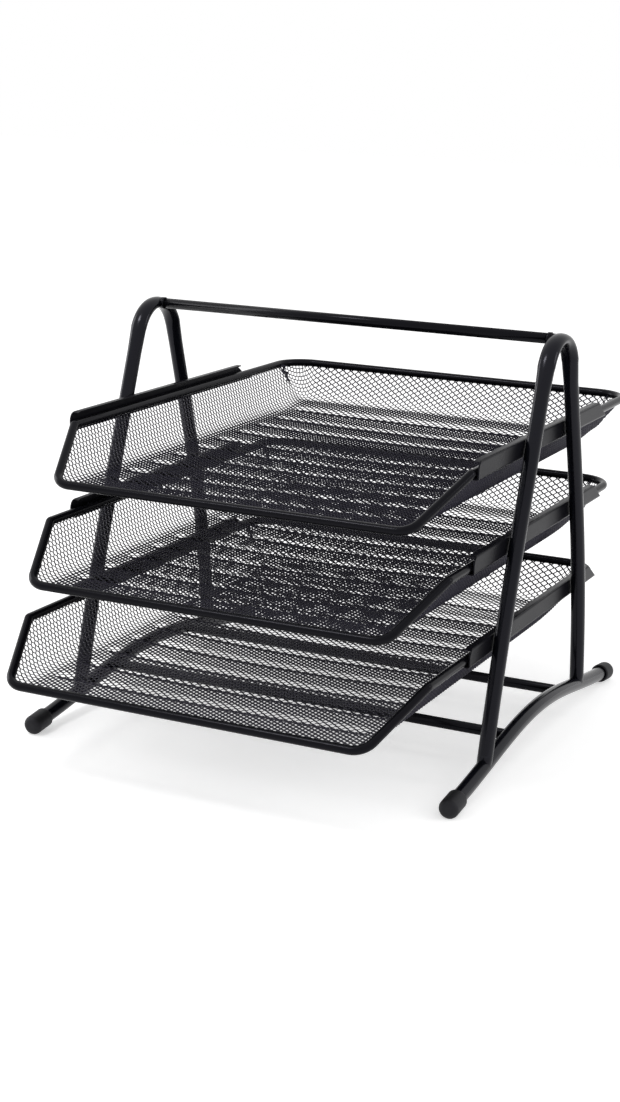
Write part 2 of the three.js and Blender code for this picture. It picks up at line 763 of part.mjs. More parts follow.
Object.entries(PULLED_OUT).forEach(([name, pulledOut], tier) => {
  const height = TOP_RIM_HEIGHT - tier * TIER_PITCH;
  for (const side of [-1, 1]) {
    const hand = side < 0 ? "left" : "right";
    const runner = piece(`${name}_${hand}_rail`, rail(side), paintedRail);
    runner.position.z = height - RAIL_BELOW_RIM;
    stand.add(runner);
  }
  const tray = new THREE.Group();
  tray.add(piece(`${name}_tray_pan`, trayPan(), paintedMesh));
  tray.add(piece(`${name}_tray_rim`, trayRim(), paintedRod));
  tray.position.set(0, TRAY_BEND_Y - pulledOut, height);
  stand.add(tray);
});

const bounds = new THREE.Box3().setFromObject(stand, true);
const middle = bounds.getCenter(new THREE.Vector3());
stand.position.set(-middle.x, -middle.y, -bounds.min.z);

const part = new THREE.Group();
part.add(stand);

export default part;
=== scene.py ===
import math

import bpy
import numpy as np
from mathutils import Matrix, Vector


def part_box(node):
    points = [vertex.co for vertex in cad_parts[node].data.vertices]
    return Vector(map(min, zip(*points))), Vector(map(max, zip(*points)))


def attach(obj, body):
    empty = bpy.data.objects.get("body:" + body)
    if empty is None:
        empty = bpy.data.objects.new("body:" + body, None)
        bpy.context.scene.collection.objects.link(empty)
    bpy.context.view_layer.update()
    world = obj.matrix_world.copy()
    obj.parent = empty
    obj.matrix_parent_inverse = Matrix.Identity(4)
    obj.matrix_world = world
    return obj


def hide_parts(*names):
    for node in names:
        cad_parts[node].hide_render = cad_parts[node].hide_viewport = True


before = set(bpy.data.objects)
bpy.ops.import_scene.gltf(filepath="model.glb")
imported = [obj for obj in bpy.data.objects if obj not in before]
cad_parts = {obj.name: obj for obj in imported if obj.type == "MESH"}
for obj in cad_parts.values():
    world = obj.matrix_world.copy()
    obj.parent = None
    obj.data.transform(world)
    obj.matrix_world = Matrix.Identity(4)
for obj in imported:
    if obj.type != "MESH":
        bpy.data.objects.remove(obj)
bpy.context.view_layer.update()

MM = 0.001

# Places taken from the frame: the handle's axis is the middle of the stand's own frame
handle_low, handle_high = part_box("handle_bar")
MIDDLE_Y = (handle_low.y + handle_high.y) / 2
APEX_Z = (handle_low.z + handle_high.z) / 2

# Sizes that the part has too, in metres
SEAT_GAP = 0.3 * MM
SIDE_PLAY = 0.5 * MM
TUBE_RADIUS = 4.75 * MM
HOOP_X = 143 * MM
FRONT_LEG_REACH = 96.6 * MM
REAR_LEG_REACH = 79 * MM
FRONT_LEAN_FOOT = math.radians(14)
REAR_LEAN_FOOT = math.radians(5)
LEG_FULLNESS = 0.4
FOOT_BAR_FRONT_REACH = 152.5 * MM
FOOT_BAR_REAR_REACH = 145 * MM
FOOT_BAR_CREST_HEIGHT = 23.8 * MM
CAP_RADIUS = 6.25 * MM
CAP_LENGTH = 18 * MM
CAP_END_WALL = 3 * MM
CAP_ROUNDING = 4 * MM
CAP_FLAT_DEPTH = 0.4 * MM
ROD_RADIUS = 3.25 * MM
FRONT_BAR_Y = -54 * MM
REAR_BAR_Y = 43.7 * MM
SHEET = 1 * MM
RAIL_WIDTH = 4.7 * MM
RAIL_BEND_RADIUS = 1.6 * MM
RAIL_HEADROOM = 4.2 * MM
RAIL_LENGTH = 240.4 * MM
RAIL_FRONT_ROUNDING = 6 * MM
TOP_RIM_HEIGHT = 196.5 * MM
TIER_PITCH = 56.5 * MM
TRAY_BEND_Y = -116.8 * MM
BEND_TO_RAIL = 1 * MM
PULLED_OUT = {"top": 0, "middle": 28.5 * MM, "bottom": 53.1 * MM}
RIM_RADIUS = 2.5 * MM
TRAY_LENGTH = 306.5 * MM
FRONT_RUN = 48.1 * MM
FRONT_DROP = 26.7 * MM
FRONT_INSET = 17.5 * MM
BACK_CORNER_RADIUS = 22 * MM
FRONT_CORNER_RADIUS = 12 * MM
GROOVE_PITCH = 30 * MM
GROOVE_FRONT_MARGIN = 34 * MM
GROOVE_RUN_OUT = 6 * MM
FLOOR_SAG = 3 * MM

# Sizes of what is seen, fitted to the photograph. The part lacks them or has other values: the
# bend and lean of the hoops, the caps' sleeves and lips, coats and wraps on rods, the handle's
# rings, the rails' rear ends and edges, the rims' bends, and the form of the mesh's floor and back
HOOP_BEND_RADIUS = 24.5 * MM
FRONT_LEAN_TOP = math.radians(18.9)
REAR_LEAN_TOP = math.radians(17.3)
BEND_THINNING = 0.2
BEND_WIDENING = 0.2
BEND_FADE = 3
CAP_LIP = 0.9 * MM
CAP_SLEEVE = 14 * MM
ROD_COAT = 0.15 * MM
RING_RADIUS = 4 * MM
RING_LENGTH = 2.6 * MM
RING_ROUNDING = 0.4 * MM
RAIL_REAR_SLANT = 18 * MM
RIM_WRAP = 0.25 * MM
RIM_BEND_RADIUS = 3 * MM
FLOOR_BELOW_FRONT_RIM = 1.2 * MM
MESH_BEND_RADIUS = 17 * MM
GROOVE_NEAR_SIDE = 4.5 * MM
GROOVE_FAR_SIDE = 7 * MM
GROOVE_DEPTH = 1.6 * MM
GROOVE_COUNT = 10
BACK_RISE = 3.5 * MM
BACK_RISE_REACH = 26 * MM
RAIL_EDGE = 0.18 * MM

# The expanded mesh: openings, bonds and strands, the metal's thickness, and how much higher the
# front edge of each bond stands than its middle, as the metal is left once it is drawn open
OPENING_LONG = 5.94 * MM
OPENING_SHORT = 3.75 * MM
BOND_HALF_LONG = 0.9 * MM
BOND_HALF_SHORT = 0.42 * MM
MESH_THICKNESS = 0.53 * MM
BOND_TILT = 0.65 * MM
REACH_INTO_RIM = 1 * MM
BACK_STRETCH = 1.2
FRONT_EDGE_SHORT = 0.5 * MM

# The back corners, where the sheet is gathered: how much of each wall is drawn towards the
# corner, and two pleats, each with its turn round the corner, how far it stands out, and the
# share of the wall's height at which it starts
DRAWN_LENGTH = 60 * MM
PLEATS = ((math.radians(5), 5 * MM, 0.5), (math.radians(66), 4 * MM, 0.7))
PLEAT_HALF = math.radians(5)
PLEAT_LEFT = 0.12
PLEAT_GROWTH = 0.2
PLEAT_END = 0.05

# How finely curves are cut
TUBE_SIDES = 40
ROD_SIDES = 28
RING_SIDES = 40
CAP_SIDES = 48
FOOT_BAR_STEPS = 60
LEG_STEPS = 40
HOOP_BEND_STEPS = 24
CAP_END_STEPS = 12
LIP_STEPS = 4
RAIL_BEND_STEPS = 6
RAIL_WEB_STEPS = 12
RIM_BEND_STEPS = 10
BACK_CORNER_STEPS = 28
FRONT_CORNER_STEPS = 20
RAIL_EDGE_STEPS = 2
RAIL_SHARP_ANGLE = math.radians(35)
RAIL_EDGE_ANGLE = math.radians(50)

# Camera, fitted to the photograph
CAMERA_PLACE = Vector((0.5221, -1.1320, 0.4346))
CAMERA_TARGET = Vector((0, -0.0339, 0.1173))
CAMERA_ROLL = math.radians(1.55)
CAMERA_LENS = 63.99
CAMERA_SENSOR = 36
CAMERA_REACH = 20


# Mesh building

def new_object(name, points, faces, smooth=True):
    mesh = bpy.data.meshes.new(name)
    mesh.from_pydata([tuple(p) for p in points], [], faces)
    mesh.update()
    made = bpy.data.objects.new(name, mesh)
    bpy.context.scene.collection.objects.link(made)
    if smooth:
        mesh.shade_smooth()
    return made


def seat(piece, body, slot, *nodes):
    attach(piece, body)
    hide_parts(*nodes)
    return piece


def place(x, y, z):
    """A point of the part's own frame in the row frame."""
    return Vector((x, y + MIDDLE_Y, z))


def swept(stations, radius, sides, reference, closed=False, pressed=None):
    """Points and faces of a round section carried along stations.

    pressed gives, for each station, how far the tube is flattened there by a tight bend.
    """
    count = len(stations)
    points = []
    for i, at in enumerate(stations):
        before = stations[(i - 1) % count if closed else max(i - 1, 0)]
        after = stations[(i + 1) % count if closed else min(i + 1, count - 1)]
        along = ((at - before).normalized() + (after - at).normalized()).normalized()
        first = reference.cross(along).normalized()
        second = along.cross(first)
        share = pressed[i] if pressed else 0
        thin = radius * (1 - BEND_THINNING * share)
        wide = radius * (1 + BEND_WIDENING * share)
        for s in range(sides):
            angle = 2 * math.pi * s / sides
            points.append(at + first * thin * math.cos(angle) + second * wide * math.sin(angle))
    faces = []
    for i in range(count if closed else count - 1):
        here = i * sides
        there = (i + 1) % count * sides
        for s in range(sides):
            t = (s + 1) % sides
            faces.append((here + s, here + t, there + t, there + s))
    if not closed:
        faces.append(tuple(reversed(range(sides))))
        faces.append(tuple(range((count - 1) * sides, count * sides)))
    return points, faces


ACROSS = Vector((1, 0, 0))
UP = Vector((0, 0, 1))

# Foot bars and caps

FOOT_MIDDLE_Y = (FOOT_BAR_REAR_REACH - FOOT_BAR_FRONT_REACH) / 2
FOOT_HALF_LENGTH = (FOOT_BAR_REAR_REACH + FOOT_BAR_FRONT_REACH) / 2
FOOT_ARCH_HALF = FOOT_HALF_LENGTH - CAP_LENGTH
FOOT_END_HEIGHT = CAP_RADIUS - CAP_FLAT_DEPTH
FOOT_ARCH_RISE = (FOOT_BAR_CREST_HEIGHT - FOOT_END_HEIGHT) / (1 + CAP_LENGTH / FOOT_ARCH_HALF)
FOOT_END_SLOPE = FOOT_ARCH_RISE / FOOT_ARCH_HALF


def foot_bar_height(y):
    away = abs(y - FOOT_MIDDLE_Y)
    beyond = max(away - FOOT_ARCH_HALF, 0)
    share = min(away / FOOT_ARCH_HALF, 1)
    parabola = 1 - share * share
    wave = (1 + math.cos(math.pi * share)) / 2
    arch_end = FOOT_END_HEIGHT + FOOT_END_SLOPE * CAP_LENGTH
    return arch_end + FOOT_ARCH_RISE * (parabola + wave) / 2 - FOOT_END_SLOPE * beyond


def foot_bar(name, x):
    start = FOOT_MIDDLE_Y - FOOT_HALF_LENGTH
    ys = [start + 2 * FOOT_HALF_LENGTH * i / FOOT_BAR_STEPS for i in range(FOOT_BAR_STEPS + 1)]
    stations = [place(x, y, foot_bar_height(y)) for y in ys]
    return new_object(name, *swept(stations, TUBE_RADIUS, TUBE_SIDES, ACROSS))


def lathe(profile, sides):
    """Points and faces of (radius, along) pairs turned about Z; a pair on the axis is a point."""
    points = []
    rings = []
    for radius, along in profile:
        start = len(points)
        count = sides if radius > 0 else 1
        for s in range(count):
            angle = 2 * math.pi * s / sides
            points.append(Vector((radius * math.cos(angle), radius * math.sin(angle), along)))
        rings.append((start, count))
    faces = []
    for (a, na), (b, nb) in zip(rings, rings[1:]):
        for s in range(sides):
            t = (s + 1) % sides
            loop = [a + s % na, a + t % na, b + t % nb, b + s % nb]
            faces.append(tuple(dict.fromkeys(loop)))
    return points, faces


def foot_cap(name, x, end):
    bore = TUBE_RADIUS + SEAT_GAP
    whole = CAP_SLEEVE + CAP_END_WALL
    profile = [(0, 0)]
    for s in range(CAP_END_STEPS + 1):
        angle = math.pi / 2 * s / CAP_END_STEPS
        radius = CAP_RADIUS - CAP_ROUNDING * (1 - math.sin(angle))
        profile.append((radius, CAP_ROUNDING * (1 - math.cos(angle))))
    profile.append((CAP_RADIUS, whole - CAP_LIP))
    for s in range(1, LIP_STEPS + 1):
        angle = math.pi / 2 * s / LIP_STEPS
        radius = CAP_RADIUS - CAP_LIP * (1 - math.cos(angle))
        profile.append((radius, whole - CAP_LIP * (1 - math.sin(angle))))
    profile.append((bore, whole))
    profile.append((bore, CAP_END_WALL))
    profile.append((0, CAP_END_WALL))
    points, faces = lathe(profile, CAP_SIDES)
    tip_y = FOOT_MIDDLE_Y + end * FOOT_HALF_LENGTH
    tip = place(x, tip_y, foot_bar_height(tip_y))
    inward = Vector((0, -end, FOOT_END_SLOPE)).normalized()
    turn = UP.rotation_difference(inward)
    start = tip - inward * (CAP_END_WALL + SEAT_GAP)
    points = [start + turn @ p for p in points]
    for p in points:
        p.z = max(p.z, 0)
    return new_object(name, points, [tuple(reversed(f)) for f in faces])


# Hoops

def bezier(a, b, c, d, steps):
    found = []
    for i in range(steps + 1):
        t = i / steps
        u = 1 - t
        found.append(a * u**3 + b * (3 * u * u * t) + c * (3 * u * t * t) + d * t**3)
    return found


BEND_CENTRE = Vector((0, 0, APEX_Z - HOOP_BEND_RADIUS))


def leg_points(side, reach, lean_top, lean_foot):
    start = BEND_CENTRE + Vector((0, side * math.cos(lean_top), math.sin(lean_top))) * HOOP_BEND_RADIUS
    foot = Vector((0, side * reach, foot_bar_height(side * reach)))
    pull = LEG_FULLNESS * (start - foot).length
    down = Vector((0, side * math.sin(lean_top), -math.cos(lean_top)))
    rise = Vector((0, -side * math.sin(lean_foot), math.cos(lean_foot)))
    return bezier(start, start + down * pull, foot + rise * pull, foot, LEG_STEPS)


def hoop(name, x):
    front = leg_points(-1, FRONT_LEG_REACH, FRONT_LEAN_TOP, FRONT_LEAN_FOOT)[::-1]
    rear = leg_points(1, REAR_LEG_REACH, REAR_LEAN_TOP, REAR_LEAN_FOOT)
    bend = []
    for s in range(1, HOOP_BEND_STEPS):
        swing = (REAR_LEAN_TOP - math.pi + FRONT_LEAN_TOP) * s / HOOP_BEND_STEPS
        angle = math.pi - FRONT_LEAN_TOP + swing
        bend.append(BEND_CENTRE + Vector((0, math.cos(angle), math.sin(angle))) * HOOP_BEND_RADIUS)
    stations = [place(x, p.y, p.z) for p in front + bend + rear]
    pressed = []
    for i in range(len(stations)):
        past = max(len(front) - i, i - len(front) - len(bend) + 1, 0)
        pressed.append(max(1 - past / BEND_FADE, 0))
    return new_object(name, *swept(stations, TUBE_RADIUS, TUBE_SIDES, ACROSS, pressed=pressed))


# Rods across the stand and the handle's collars

def cross_rod(name, y, z):
    stations = [place(-HOOP_X, y, z), place(HOOP_X, y, z)]
    return new_object(name, *swept(stations, ROD_RADIUS + ROD_COAT, ROD_SIDES, UP))


def collar(name, side):
    bore = ROD_RADIUS + SEAT_GAP
    profile = [(bore, 0), (RING_RADIUS, 0), (RING_RADIUS, RING_LENGTH - RING_ROUNDING)]
    for s in range(1, LIP_STEPS + 1):
        angle = math.pi / 2 * s / LIP_STEPS
        radius = RING_RADIUS - RING_ROUNDING * (1 - math.cos(angle))
        profile.append((radius, RING_LENGTH - RING_ROUNDING * (1 - math.sin(angle))))
    profile.append((bore, RING_LENGTH))
    profile.append((bore, 0))
    points, faces = lathe(profile, RING_SIDES)
    turn = Matrix.Rotation(-side * math.pi / 2, 3, "Y")
    start = place(side * (HOOP_X - TUBE_RADIUS - SEAT_GAP), 0, APEX_Z)
    points = [start + turn @ p for p in points]
    return new_object(name, points, [tuple(reversed(f)) for f in faces])


# Rails

WEB_OUTER_X = HOOP_X - TUBE_RADIUS - SEAT_GAP
WEB_INNER_X = WEB_OUTER_X - SHEET
RIM_X = WEB_INNER_X - SIDE_PLAY - RIM_RADIUS
RAIL_BELOW_RIM = RIM_RADIUS + SEAT_GAP + SHEET
RAIL_ABOVE_RIM = RIM_RADIUS + RAIL_HEADROOM + SHEET
RAIL_HEIGHT = RAIL_BELOW_RIM + RAIL_ABOVE_RIM
RAIL_FRONT_Y = TRAY_BEND_Y + BEND_TO_RAIL


def rail_contour():
    """Pairs of outer and inner points of the folded section, from the lower lip to the upper."""
    lip = WEB_OUTER_X - RAIL_WIDTH
    tight = RAIL_BEND_RADIUS - SHEET
    centre_x = WEB_OUTER_X - RAIL_BEND_RADIUS
    pairs = [((lip, 0), (lip, SHEET))]
    for centre_z, start in ((RAIL_BEND_RADIUS, -90), (RAIL_HEIGHT - RAIL_BEND_RADIUS, 0)):
        for s in range(RAIL_BEND_STEPS + 1):
            angle = math.radians(start + 90 * s / RAIL_BEND_STEPS)
            direction = (math.cos(angle), math.sin(angle))
            outer = (centre_x + RAIL_BEND_RADIUS * direction[0], centre_z + RAIL_BEND_RADIUS * direction[1])
            inner = (centre_x + tight * direction[0], centre_z + tight * direction[1])
            pairs.append((outer, inner))
        if start == -90:
            low = RAIL_BEND_RADIUS
            high = RAIL_HEIGHT - RAIL_BEND_RADIUS
            for s in range(1, RAIL_WEB_STEPS):
                z = low + (high - low) * s / RAIL_WEB_STEPS
                pairs.append(((WEB_OUTER_X, z), (WEB_INNER_X, z)))
    pairs.append(((lip, RAIL_HEIGHT), (lip, RAIL_HEIGHT - SHEET)))
    return pairs


def rail_ends(z):
    rounding = RAIL_FRONT_ROUNDING
    into = max(z - (RAIL_HEIGHT - rounding), 0)
    front = RAIL_FRONT_Y + rounding - math.sqrt(max(rounding**2 - into**2, 0))
    rear = RAIL_FRONT_Y + RAIL_LENGTH - RAIL_REAR_SLANT * z / RAIL_HEIGHT
    return front, rear


def rail(name, side, height):
    """Each pair of the contour gives four points: outer front and rear, inner front and rear."""
    base = height - RAIL_BELOW_RIM
    points = []
    for pair in rail_contour():
        for x, z in pair:
            for y in rail_ends(z):
                points.append(place(side * x, y, base + z))
    faces = []
    last = len(points) - 4
    for i in range(0, last, 4):
        faces.append((i, i + 1, i + 5, i + 4))
        faces.append((i + 2, i + 6, i + 7, i + 3))
        faces.append((i, i + 4, i + 6, i + 2))
        faces.append((i + 1, i + 3, i + 7, i + 5))
    faces.append((0, 2, 3, 1))
    faces.append((last, last + 1, last + 3, last + 2))
    if side < 0:
        faces = [tuple(reversed(f)) for f in faces]
    made = new_object(name, points, faces)
    made.data.set_sharp_from_angle(angle=RAIL_SHARP_ANGLE)
    edge = made.modifiers.new("edge", "BEVEL")
    edge.width = RAIL_EDGE
    edge.segments = RAIL_EDGE_STEPS
    edge.limit_method = "ANGLE"
    edge.angle_limit = RAIL_EDGE_ANGLE
    return made


# Trays. A tray's own frame has y = 0 at the bend where its front edge starts to drop and
# z = 0 at the axis of the level part of the rim

RIM_FRONT_X = RIM_X - FRONT_INSET
WALL_SLOPE = math.atan2(FRONT_DROP, FRONT_INSET)
FRONT_SLOPE = math.atan2(FRONT_DROP, FRONT_RUN)
FLOOR_Z = -FRONT_DROP - FLOOR_BELOW_FRONT_RIM
FLOOR_INSET = -FLOOR_Z / math.tan(WALL_SLOPE) + MESH_BEND_RADIUS * math.tan(WALL_SLOPE / 2)
FLOOR_HALF_WIDTH = RIM_X - FLOOR_INSET
FLOOR_BACK_Y = TRAY_LENGTH - FLOOR_INSET
FILLET_RUN = MESH_BEND_RADIUS * WALL_SLOPE
WALL_RUN = (FLOOR_INSET - MESH_BEND_RADIUS * math.sin(WALL_SLOPE)) / math.cos(WALL_SLOPE)
SHEET_REACH = FILLET_RUN + WALL_RUN


def rounded_loop(corners):
    count = len(corners)
    found = []
    for i, (at, radius, steps) in enumerate(corners):
        back = (corners[(i - 1) % count][0] - at).normalized()
        ahead = (corners[(i + 1) % count][0] - at).normalized()
        opening = back.angle(ahead)
        centre = at + (back + ahead).normalized() * (radius / math.sin(opening / 2))
        start = at + back * (radius / math.tan(opening / 2)) - centre
        axis = back.cross(ahead).normalized()
        for s in range(steps + 1):
            turn = Matrix.Rotation((opening - math.pi) * s / steps, 3, axis)
            found.append(centre + turn @ start)
    return found


def tray_place(tier, x, y, z):
    name, height = tier
    return place(x, y + TRAY_BEND_Y - PULLED_OUT[name], z + height)


def tray_rim(name, tier):
    corners = [
        (Vector((RIM_X - RIM_WRAP, 0, 0)), RIM_BEND_RADIUS, RIM_BEND_STEPS),
        (Vector((RIM_X - RIM_WRAP, TRAY_LENGTH - RIM_WRAP, 0)), BACK_CORNER_RADIUS, BACK_CORNER_STEPS),
        (Vector((-RIM_X + RIM_WRAP, TRAY_LENGTH - RIM_WRAP, 0)), BACK_CORNER_RADIUS, BACK_CORNER_STEPS),
        (Vector((-RIM_X + RIM_WRAP, 0, 0)), RIM_BEND_RADIUS, RIM_BEND_STEPS),
        (Vector((-RIM_FRONT_X, -FRONT_RUN, -FRONT_DROP)), FRONT_CORNER_RADIUS, FRONT_CORNER_STEPS),
        (Vector((RIM_FRONT_X, -FRONT_RUN, -FRONT_DROP)), FRONT_CORNER_RADIUS, FRONT_CORNER_STEPS),
    ]
    stations = [tray_place(tier, *p) for p in rounded_loop(corners)]
    return new_object(name, *swept(stations, RIM_RADIUS + RIM_WRAP, ROD_SIDES, UP, closed=True))


def wall_profile(run):
    """Inset from the rim's axis, height and slope of the wall at a run up the sheet from the floor."""
    angle = np.clip(run / MESH_BEND_RADIUS, 0, WALL_SLOPE)
    straight = np.maximum(run - FILLET_RUN, 0)
    inset = FLOOR_INSET - MESH_BEND_RADIUS * np.sin(angle) - straight * math.cos(WALL_SLOPE)
    rise = MESH_BEND_RADIUS * (1 - np.cos(angle)) + straight * math.sin(WALL_SLOPE)
    return inset, FLOOR_Z + rise, angle


def groove_depth(x, y):
    depth = np.zeros_like(y)
    for g in range(GROOVE_COUNT):
        middle = GROOVE_FRONT_MARGIN - FRONT_RUN + g * GROOVE_PITCH
        past = y - middle
        side = np.where(past < 0, 1 + past / GROOVE_NEAR_SIDE, 1 - past / GROOVE_FAR_SIDE)
        depth = np.maximum(depth, np.clip(side, 0, 1))
    ends = (FLOOR_HALF_WIDTH - np.abs(x)) / GROOVE_RUN_OUT
    return GROOVE_DEPTH * depth * np.clip(ends, 0, 1)


def floor_sag(x, y):
    across = 1 - (x / FLOOR_HALF_WIDTH) ** 2
    along = np.clip((y + FRONT_RUN) / (FLOOR_BACK_Y + FRONT_RUN), 0, 1)
    return FLOOR_SAG * np.maximum(across, 0) * 4 * along * (1 - along)


def back_rise(v, share):
    """How much the wide bend at the back lifts the sheet."""
    away = (v - FLOOR_BACK_Y) / BACK_RISE_REACH
    return BACK_RISE * np.exp(-(away**2)) * (1 - np.clip(share, 0, 1) ** 2)


def gathered(turn, height):
    """The turn round a corner that the sheet's own turn comes to, and how far a pleat stands out.

    height is the share of the wall that lies below. Each pleat starts at its own share.
    """
    taken = np.zeros_like(turn)
    fold = np.zeros_like(turn)
    left = np.full_like(turn, math.pi / 2)
    for middle, depth, start in PLEATS:
        share = np.clip((turn - middle) / (2 * PLEAT_HALF) + 0.5, 0, 1)
        grown = np.clip((height - start) / PLEAT_GROWTH, 0, 1)
        width = 2 * PLEAT_HALF * (1 - PLEAT_LEFT) * grown
        taken = taken + width * share
        left = left - width
        fold = fold + depth * grown * np.clip((1 - height) / PLEAT_END, 0, 1) * (1 - np.abs(2 * share - 1))
    return (turn - taken) * math.pi / 2 / left, fold


def sheet_points(u, v, lift):
    """Where points of the flat sheet come to lie once it is formed, with their runs up the wall.

    u goes across from the middle and v back from the bend. Past the floor's edges the sheet
    turns up into the walls, and in the back corners it is gathered round the corner.
    """
    hand = np.where(u < 0, -1, 1)
    over_u = np.maximum(np.abs(u) - FLOOR_HALF_WIDTH, 0)
    over_v = np.maximum(v - FLOOR_BACK_Y, 0) * BACK_STRETCH
    run = np.hypot(over_u, over_v)
    share = run / SHEET_REACH
    turn, fold = gathered(np.arctan2(over_v, over_u), share)
    inset, z, slope = wall_profile(run)
    radius = BACK_CORNER_RADIUS * np.clip(1 - inset / FLOOR_INSET, 0, 1)
    corner_x = RIM_X - inset - radius
    corner_y = TRAY_LENGTH - inset - radius
    drawn_x = np.clip((np.abs(u) - FLOOR_HALF_WIDTH) / DRAWN_LENGTH + 1, 0, 1) ** 2
    drawn_y = np.clip((v - FLOOR_BACK_Y) / DRAWN_LENGTH + 1, 0, 1) ** 2
    x = np.abs(u) + (corner_x - FLOOR_HALF_WIDTH) * drawn_x
    y = v + (corner_y - FLOOR_BACK_Y) * drawn_y
    x = np.where(over_u > 0, corner_x + radius * np.cos(turn), x)
    y = np.where(over_v > 0, corner_y + radius * np.sin(turn), y)
    lift = lift + fold
    on_floor = run == 0
    z = z - (floor_sag(x, y) + groove_depth(x, y)) * on_floor + back_rise(v, share)
    x = x - lift * np.sin(slope) * np.cos(turn) * (run > 0)
    y = y - lift * np.sin(slope) * np.sin(turn) * (run > 0)
    z = z + lift * np.cos(slope)
    return np.stack([x * hand, y, z], axis=-1), run


def past_front(points):
    """How far points are past the front edge of the tray, along the sheet."""
    y, z = points[..., 1], points[..., 2]
    past_slant = (z / math.tan(FRONT_SLOPE) - y) * math.sin(FRONT_SLOPE)
    return np.where(z > -FRONT_DROP, past_slant, -FRONT_RUN - y)


def tray_mesh(name, tier):
    half_long = OPENING_LONG / 2
    half_short = OPENING_SHORT / 2
    reach_u = FLOOR_HALF_WIDTH + SHEET_REACH + half_long
    first_v = -FRONT_RUN - 2 * half_short
    last_v = FLOOR_BACK_Y + SHEET_REACH + half_short
    columns = int(reach_u // half_long)
    rows = int((last_v - first_v) // half_short)
    i, j = np.meshgrid(np.arange(-columns, columns + 1), np.arange(rows + 1), indexing="ij")
    u = i * half_long
    v = first_v + j * half_short
    centre, run = sheet_points(u, v, 0)
    kept = ((i + j) % 2 == 0) & (run < SHEET_REACH + REACH_INTO_RIM)
    kept &= past_front(centre) < np.where(run > 0, REACH_INTO_RIM, -FRONT_EDGE_SHORT)
    number = np.full(kept.shape, -1)
    number[kept] = np.arange(kept.sum())
    tips = [(BOND_HALF_LONG, 0), (0, BOND_HALF_SHORT), (-BOND_HALF_LONG, 0), (0, -BOND_HALF_SHORT)]
    under = len(tips)
    per_bond = 2 * under
    corners = []
    for layer in (MESH_THICKNESS / 2, -MESH_THICKNESS / 2):
        for du, dv in tips:
            lift = layer - BOND_TILT * dv / BOND_HALF_SHORT
            corners.append(sheet_points(u[kept] + du, v[kept] + dv, lift)[0])
    points = np.stack(corners, axis=1).reshape(-1, 3)
    points += np.array(tray_place(tier, 0, 0, 0))
    east, north, west, south = 0, 1, 2, 3
    faces = []
    every = np.arange(kept.sum()) * per_bond
    faces.append(np.stack([every + east, every + north, every + west, every + south], axis=1))
    below = every + under
    faces.append(np.stack([below + south, below + west, below + north, below + east], axis=1))
    for up, a_tip, a_side, b_tip, b_side in ((1, east, north, west, south), (-1, east, south, west, north)):
        here = number[:-1, :-1] if up > 0 else number[:-1, 1:]
        there = number[1:, 1:] if up > 0 else number[1:, :-1]
        both = (here >= 0) & (there >= 0)
        a = here[both] * per_bond
        b = there[both] * per_bond
        a_low = a + under
        b_low = b + under
        quads = [
            (a + a_tip, b + b_side, b + b_tip, a + a_side),
            (a_low + a_side, b_low + b_tip, b_low + b_side, a_low + a_tip),
            (a_low + a_tip, b_low + b_side, b + b_side, a + a_tip),
            (a + a_side, b + b_tip, b_low + b_tip, a_low + a_side),
        ]
        for quad in quads:
            stacked = np.stack(quad, axis=1)
            faces.append(stacked if up > 0 else stacked[:, ::-1])
    quads = np.concatenate(faces)
    mesh = bpy.data.meshes.new(name)
    mesh.vertices.add(len(points))
    mesh.vertices.foreach_set("co", points.ravel())
    mesh.loops.add(quads.size)
    mesh.loops.foreach_set("vertex_index", quads.ravel())
    mesh.polygons.add(len(quads))
    mesh.polygons.foreach_set("loop_start", np.arange(len(quads)) * quads.shape[1])
    mesh.update(calc_edges=True)
    mesh.validate()
    made = bpy.data.objects.new(name, mesh)
    bpy.context.scene.collection.objects.link(made)
    return made


# Materials

SHEEN_TINT = (0.88, 0.87, 1, 1)
PEEL_DETAIL = 3
PEEL_DEPTH = 0.2 * MM
PATCH_SCALE = 35
PATCH_DETAIL = 5
SMOOTHER = 0.05
ROUGHER = 0.07
DARKER = 0.85
LIGHTER = 1.2


